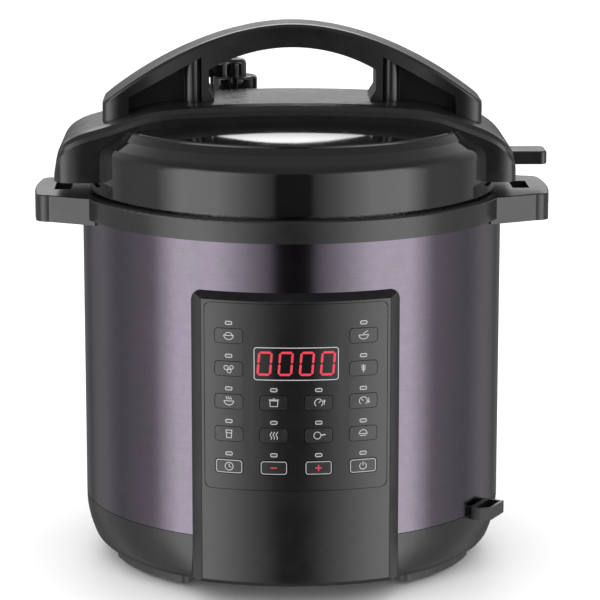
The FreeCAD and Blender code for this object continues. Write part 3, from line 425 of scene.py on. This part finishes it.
def boardFinish(look):
    mat, tree, shader = fresh("greenBoard")
    coord = objectCoord(tree)
    cells = tree.nodes.new("ShaderNodeTexVoronoi")
    cells.distance = "CHEBYCHEV"
    cells.feature = "DISTANCE_TO_EDGE"
    cells.inputs["Scale"].default_value = look["cellScale"]
    tree.links.new(coord, cells.inputs["Vector"])
    track = spread(tree, cells.outputs["Distance"], *look["trackRange"], 1.0, 0.0)
    color = mixColor(tree, track, look["lacquer"], look["track"])
    cloud = noiseNode(tree, coord, look["cloudScale"], look["cloudDetail"])
    tree.links.new(color, shader.inputs["Base Color"])
    rough = spread(tree, cloud, *look["cloudRange"], *look["rough"])
    tree.links.new(rough, shader.inputs["Roughness"])
    addBump(tree, shader, track, look["bump"], look["bumpDepth"])
    return mat


dress(boardFinish(boardLook), "control_board", "power_board")
print("small pieces finished")


# marks printed on the keys and round the lamps; every length is in mm
panelLook = {"radius": 147.0, "keyProud": 0.3, "ink": 0.04, "printProud": 0.16, "inkThick": 0.03,
             "line": 0.42, "grey": (0.5, 0.5, 0.52), "red": (0.55, 0.03, 0.025), "redPaintedGlow": 0.25,
             "keyFrame": (15.6, 7.8, 1.4), "keyFrameLine": 0.35,
             "lampRim": (4.0, 2.0, 0.8), "lampRimLine": 0.45, "lampAbove": 8.1}
inkLook = {"skin": {"Grain Scale": 1500.0, "Grain Depth": 0.02, "Wave Scale": 30.0,
                    "Wave Depth": 0.0, "Rough Low": 0.35, "Rough High": 0.5},
           "faded": 0.85, "bump": 0.2, "bumpDepth": 0.0003}


def inkFinish(name, color, glow=0.0):
    mat, tree, shader = fresh(name)
    skin = place(tree, skinGroup, inkLook["skin"])
    shade = mixColor(tree, skin["Mottle"], shaded(color, inkLook["faded"]), color)
    tree.links.new(shade, shader.inputs["Base Color"])
    tree.links.new(skin["Roughness"], shader.inputs["Roughness"])
    # glow makes the print give light: lamp light for the display segments, a painted glow for the red
    # key ink
    if glow:
        tree.links.new(shade, shader.inputs["Emission Color"])
        shader.inputs["Emission Strength"].default_value = glow
    addBump(tree, shader, skin["Height"], inkLook["bump"], inkLook["bumpDepth"])
    return mat


greyInk = inkFinish("paleGreyInk", panelLook["grey"])
# red ink with a painted glow: printed ink gives no light of its own
redInkPaintedGlow = inkFinish("redInkPaintedGlow", panelLook["red"], panelLook["redPaintedGlow"])


def stripPoints(points, closed, width):
    # both borders of a line of even width in the plane of the panel
    count = len(points)
    left, right = [], []
    for i, (x, z) in enumerate(points):
        before = points[i - 1] if (i or closed) else points[i]
        after = points[(i + 1) % count] if (i < count - 1 or closed) else points[i]
        a = Vector((x - before[0], z - before[1]))
        b = Vector((after[0] - x, after[1] - z))
        a = a.normalized() if a.length else b.normalized()
        b = b.normalized() if b.length else a
        along = (a + b)
        along = along.normalized() if along.length > 1e-6 else a
        normal = Vector((-along.y, along.x))
        miter = width / 2 / max(0.5, abs(normal.dot(Vector((-a.y, a.x)))))
        left.append((x + normal.x * miter, z + normal.y * miter))
        right.append((x - normal.x * miter, z - normal.y * miter))
    return left, right


def finer(points, closed, step=1.5):
    # extra points, so a long line follows the curve of the panel
    result = []
    for i, (x, z) in enumerate(points):
        result.append((x, z))
        if i == len(points) - 1 and not closed:
            break
        nextX, nextZ = points[(i + 1) % len(points)]
        parts = int(abs(nextX - x) // step)
        for k in range(1, parts):
            result.append((x + (nextX - x) * k / parts, z + (nextZ - z) * k / parts))
    return result


def ring(x, z, radius, start=0.0, end=360.0, steps=18):
    points = []
    for i in range(steps + 1):
        a = math.radians(start + (end - start) * i / steps)
        points.append((x + radius * math.cos(a), z + radius * math.sin(a)))
    return points


def arc(x, z, w, h, steps=10):
    angles = [math.pi * i / steps for i in range(steps + 1)]
    return [(x + w * math.cos(a), z + h * math.sin(a)) for a in angles]


def boxLine(x, z, width, height, corner):
    points = []
    for sideX, sideZ, start in ((1, 1, 0), (-1, 1, 90), (-1, -1, 180), (1, -1, 270)):
        cornerX = x + sideX * (width / 2 - corner)
        cornerZ = z + sideZ * (height / 2 - corner)
        points += ring(cornerX, cornerZ, corner, start, start + 90, 5)
    return points


def inkPiece(name, strokes, fills, centre, radius, mat, body):
    # strokes are (points, closed, width), fills are outlines, both about centre = (x, z)
    mesh = bmesh.new()

    def point(x, z):
        px = centre[0] + x
        return mesh.verts.new(Vector((px, -math.sqrt(radius ** 2 - px ** 2), centre[1] + z)) * mm)

    for points, closed, width in strokes:
        points = finer(points, closed)
        left, right = stripPoints(points, closed, width)
        a, b = [point(*p) for p in left], [point(*p) for p in right]
        for i in range(len(points) - (0 if closed else 1)):
            j = (i + 1) % len(points)
            mesh.faces.new((b[i], b[j], a[j], a[i]))
    for outline in fills:
        mesh.faces.new([point(*p) for p in outline])
    bmesh.ops.recalc_face_normals(mesh, faces=mesh.faces)
    for face in mesh.faces:
        if face.normal.y > 0:
            face.normal_flip()
    data = bpy.data.meshes.new(name)
    mesh.to_mesh(data)
    mesh.free()
    piece = bpy.data.objects.new(name, data)
    bpy.context.scene.collection.objects.link(piece)
    solid = piece.modifiers.new("ink", "SOLIDIFY")
    solid.thickness = panelLook["inkThick"] * mm
    solid.offset = 1.0
    data.materials.append(mat)
    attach(piece, body)


def line(points, share=1.0):
    return points, False, panelLook["line"] * share


def loop(points):
    return points, True, panelLook["line"]


def curl(x, z, swing, pace, rise, count):
    return line([(x + swing * math.sin(t * pace), z + t * rise) for t in range(count)])


bowl = [line([(-3.2, 0.3), (3.2, 0.3)]), line(arc(0, 0.3, 2.9, -2.6))]
dial = line(ring(0, 0, 2.5, -50, 230))
stalk = [line([(0, -2.6), (0, 2.4)])]
ears = [line([(0, z), (side * 1.3, z + 1.1)]) for z in (-1.6, -0.4, 0.8) for side in (-1, 1)]
keyLines = {
    "key_rice": bowl + [line(arc(0, 0.5, 2.2, 1.7))],
    "key_beans": [loop(ring(-1.6, 0.6, 1.3)), loop(ring(1.7, 0.9, 1.1)),
                  loop(ring(0.3, -1.5, 1.2))],
    "key_soup": bowl + [curl(x, 1.2, 0.35, 1.6, 0.45, 5) for x in (-1.3, 0, 1.3)],
    "key_yogurt": [loop([(-1.8, 2.4), (-1.4, -2.4), (1.4, -2.4), (1.8, 2.4)]),
                   line([(-1.6, 0.6), (1.6, 0.6)])],
    "key_delay": [loop(ring(0, 0, 2.5)), line([(0, 1.7), (0, 0), (1.3, -0.7)])],
    "key_stew": [loop([(-2.5, 1.4), (-2.2, -2.2), (2.2, -2.2), (2.5, 1.4)]),
                 line([(-3.1, 2.0), (3.1, 2.0)]), line([(-0.5, 2.7), (0.5, 2.7)])],
    "key_steam": [curl(x, -2.4, 0.5, 1, 0.6, 9) for x in (-1.8, 0, 1.8)],
    "key_high_pressure": [dial, line([(0, 0), (1.3, 1.4)]), line([(3.4, -1.2), (3.4, 1.6)]),
                          line([(2.7, 0.8), (3.4, 1.7), (4.1, 0.8)])],
    "key_low_pressure": [dial, line([(0, 0), (-1.3, 1.4)]), line([(3.4, 1.6), (3.4, -1.2)]),
                         line([(2.7, -0.4), (3.4, -1.3), (4.1, -0.4)])],
    "key_saute": [loop(ring(-0.8, 0, 2.2)), line([(1.4, 0.0), (4.2, 0.6)], 1.6)],
    "key_porridge": bowl + [line([(-0.6, 0.8), (2.6, 2.9)])],
    "key_grain": stalk + ears,
    "key_slow_cook": [line(ring(0, -0.2, 2.4, 0, 180)), line([(-2.9, -0.2), (2.9, -0.2)]),
                      line([(-2.0, -1.4), (2.0, -1.4)])],
    "key_cancel": [line(ring(0, -0.2, 2.1, 120, 420)), line([(0, 0.2), (0, 2.6)])],
}
flatBar = [(-2.0, -0.35), (2.0, -0.35), (2.0, 0.35), (-2.0, 0.35)]
upperBar = [(-0.35, 0.36), (0.35, 0.36), (0.35, 2.0), (-0.35, 2.0)]
lowerBar = [(-0.35, -2.0), (0.35, -2.0), (0.35, -0.36), (-0.35, -0.36)]
keyFills = {"key_minus": [flatBar], "key_plus": [flatBar, upperBar, lowerBar]}
framedKeys = {"key_delay", "key_minus", "key_plus", "key_cancel"}


def printMarks(look):
    keyFace = look["radius"] + look["keyProud"] + look["ink"]
    keyFrame = [(boxLine(0, 0, *look["keyFrame"]), True, look["keyFrameLine"])]
    lampRims = []
    for name in keyNames:
        low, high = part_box(name)
        x, z = (low[0] + high[0]) / 2 / mm, (low[2] + high[2]) / 2 / mm
        ink = redInkPaintedGlow if name in keyFills else greyInk
        lines, fills = keyLines.get(name, []), keyFills.get(name, [])
        inkPiece("mark_" + name[4:], lines, fills, (x, z), keyFace, ink, name)
        if name in framedKeys:
            inkPiece("frame_" + name[4:], keyFrame, [], (x, z), keyFace, greyInk, name)
        rim = boxLine(x, z + look["lampAbove"], *look["lampRim"])
        lampRims.append((rim, True, look["lampRimLine"]))
    panelFace = look["radius"] + look["printProud"]
    inkPiece("lamp_rims", lampRims, [], (0.0, 0.0), panelFace, greyInk, "base")


printMarks(panelLook)
print("key marks printed")


# display: four zeros in seven bars each, inside a pale frame
displayLook = {"glow": (0.42, 0.018, 0.035), "glowPower": 1.0, "digitsAt": (-19.4, -6.5, 6.5, 19.4),
               "digitRaise": 0.2, "digitSize": (7.6, 13.8), "lit": "abcdef", "barWidth": 0.19,
               "barGap": 0.62, "lean": 0.08, "frame": (51.7, 20.2, 1.6), "frameLine": 0.5}


def segments(x, look):
    width, height = look["digitSize"]
    w, h, t = width / 2, height / 2, width * look["barWidth"]
    ends = {"a": ((-w, h), (w, h)), "b": ((w, h), (w, 0)), "c": ((w, 0), (w, -h)),
            "d": ((-w, -h), (w, -h)), "e": ((-w, 0), (-w, -h)), "f": ((-w, h), (-w, 0)),
            "g": ((-w, 0), (w, 0))}
    fills = []
    for key in look["lit"]:
        start, end = Vector(ends[key][0]), Vector(ends[key][1])
        along = (end - start).normalized()
        side = Vector((-along.y, along.x)) * t / 2
        tip = along * t / 2
        a = start + along * t * look["barGap"]
        b = end - along * t * look["barGap"]
        outline = (a - tip, a + side, b + side, b + tip, b - side, a - side)
        fills.append([(x + p.x + p.y * look["lean"], look["digitRaise"] + p.y) for p in outline])
    return fills


def printDisplay(look):
    low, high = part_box("display_window")
    centre = (0.0, (low[2] + high[2]) / 2 / mm)
    face = panelLook["radius"] + panelLook["printProud"]
    digits = [bar for x in look["digitsAt"] for bar in segments(x, look)]
    border = [(boxLine(0, 0, *look["frame"]), True, look["frameLine"])]
    glowRed = inkFinish("litSegment", look["glow"], look["glowPower"])
    inkPiece("display_digits", [], digits, centre, face, glowRed, "base")
    inkPiece("display_frame", border, [], centre, face, greyInk, "base")


printDisplay(displayLook)
print("display finished")


# light: gloss sees two tall soft boxes, a window behind and a dark ceiling; the rest is even.
# "around" is degrees from the front with brightness, the turns are in radians, heights are 0 to 1
lightLook = {"ambient": 1.5, "brightest": 4.0, "ceiling": 0.35, "ceilingRise": (0.45, 0.7),
             "around": [(0, 0.02), (9, 0.02), (12, 0.5), (26, 1.5), (44, 3.3), (66, 3.4), (82, 0.8),
                        (110, 0.45), (140, 0.7), (165, 0.9), (180, 0.8)],
             "behindTurn": (2.2, 2.6), "lowBehind": 0.8, "lowRise": (0.07, 0.19),
             "window": 3.2, "windowTurn": (2.82, 2.92), "windowFoot": (0.3, 0.37),
             "windowHead": (0.6, 0.75)}


def buildWorld(look):
    world = bpy.data.worlds.new("studioLight")
    bpy.context.scene.world = world
    world.use_nodes = True
    tree = world.node_tree
    tree.nodes.clear()
    out = tree.nodes.new("ShaderNodeOutputWorld")
    rays = tree.nodes.new("ShaderNodeLightPath")

    def sky(level):
        node = tree.nodes.new("ShaderNodeBackground")
        node.inputs["Color"].default_value = (1, 1, 1, 1)
        feed(tree, node.inputs["Strength"], level)
        return node.outputs[0]

    def either(chooser, no, yes):
        node = tree.nodes.new("ShaderNodeMixShader")
        for slot, value in zip(node.inputs, (chooser, no, yes)):
            tree.links.new(value, slot)
        return node.outputs[0]

    def without(mask):
        return mathNode(tree, "SUBTRACT", 1.0, mask)

    coord = tree.nodes.new("ShaderNodeTexCoord").outputs["Generated"]
    x, y, z = splitVector(tree, coord)
    turn = mathNode(tree, "ABSOLUTE", mathNode(tree, "ARCTAN2", x, times(tree, y, -1.0)))
    ramp = tree.nodes.new("ShaderNodeValToRGB")
    elements = ramp.color_ramp.elements
    stops = [(degrees / 180, (level / look["brightest"],) * 3 + (1,))
             for degrees, level in look["around"]]
    elements[0].color, elements[1].color = stops[0][1], stops[-1][1]
    for position, color in stops[1:-1]:
        elements.new(position).color = color
    tree.links.new(mathNode(tree, "DIVIDE", turn, math.pi), ramp.inputs["Fac"])
    level = times(tree, ramp.outputs["Color"], look["brightest"])
    behind = spread(tree, turn, *look["behindTurn"])
    low = spread(tree, z, *look["lowRise"], look["lowBehind"], 0.0)
    level = times(tree, level, without(times(tree, behind, low)))
    upper = spread(tree, z, *look["ceilingRise"])
    level = times(tree, level, without(upper))
    level = plus(tree, level, times(tree, upper, look["ceiling"]))
    pane = spread(tree, turn, *look["windowTurn"], 0.0, look["window"])
    raised = spread(tree, z, *look["windowFoot"])
    lowered = spread(tree, z, *look["windowHead"], 1.0, 0.0)
    window = times(tree, pane, times(tree, raised, lowered))
    glossy = sky(plus(tree, level, window))
    lit = either(rays.outputs["Is Glossy Ray"], sky(look["ambient"]), glossy)
    tree.links.new(either(rays.outputs["Is Camera Ray"], lit, sky(1.0)), out.inputs["Surface"])


floorLook = {"radius": 6.0, "sides": 96, "sunk": 0.0002, "color": (0.9, 0.9, 0.9), "shade": 0.99,
             "cloudScale": 3.0, "cloudDetail": 2.0, "rough": 0.6}


def buildFloor(look):
    data = bpy.data.meshes.new("studioFloor")
    mesh = bmesh.new()
    bmesh.ops.create_circle(mesh, cap_ends=True, radius=look["radius"], segments=look["sides"])
    mesh.to_mesh(data)
    mesh.free()
    floor = bpy.data.objects.new("studioFloor", data)
    bpy.context.scene.collection.objects.link(floor)
    mat, tree, shader = fresh("paleFloor")
    cloud = noiseNode(tree, objectCoord(tree), look["cloudScale"], look["cloudDetail"])
    color = mixColor(tree, cloud, look["color"], shaded(look["color"], look["shade"]))
    tree.links.new(color, shader.inputs["Base Color"])
    shader.inputs["Roughness"].default_value = look["rough"]
    data.materials.append(mat)
    floor.location.z = -look["sunk"]
    floor.visible_glossy = False  # upright walls would mirror it


cameraLook = {"distance": 1.8, "height": 0.535, "pitch": 11.56, "orbit": -1.1, "lens": 166.3,
              "sensor": 36.0, "shift": 8.3 / 600, "near": 0.05}


def buildCamera(look):
    data = bpy.data.cameras.new("studioCamera")
    camera = bpy.data.objects.new("studioCamera", data)
    bpy.context.scene.collection.objects.link(camera)
    data.sensor_width = look["sensor"]
    data.lens = look["lens"]
    data.shift_x = look["shift"]
    data.clip_start = look["near"]
    turn = math.radians(look["orbit"])
    away = look["distance"]
    camera.location = (away * math.sin(turn), -away * math.cos(turn), look["height"])
    camera.rotation_euler = (math.radians(90 - look["pitch"]), 0, turn)
    bpy.context.scene.camera = camera


buildWorld(lightLook)
buildFloor(floorLook)
buildCamera(cameraLook)
bpy.context.scene.view_settings.view_transform = "Standard"
print("studio ready")
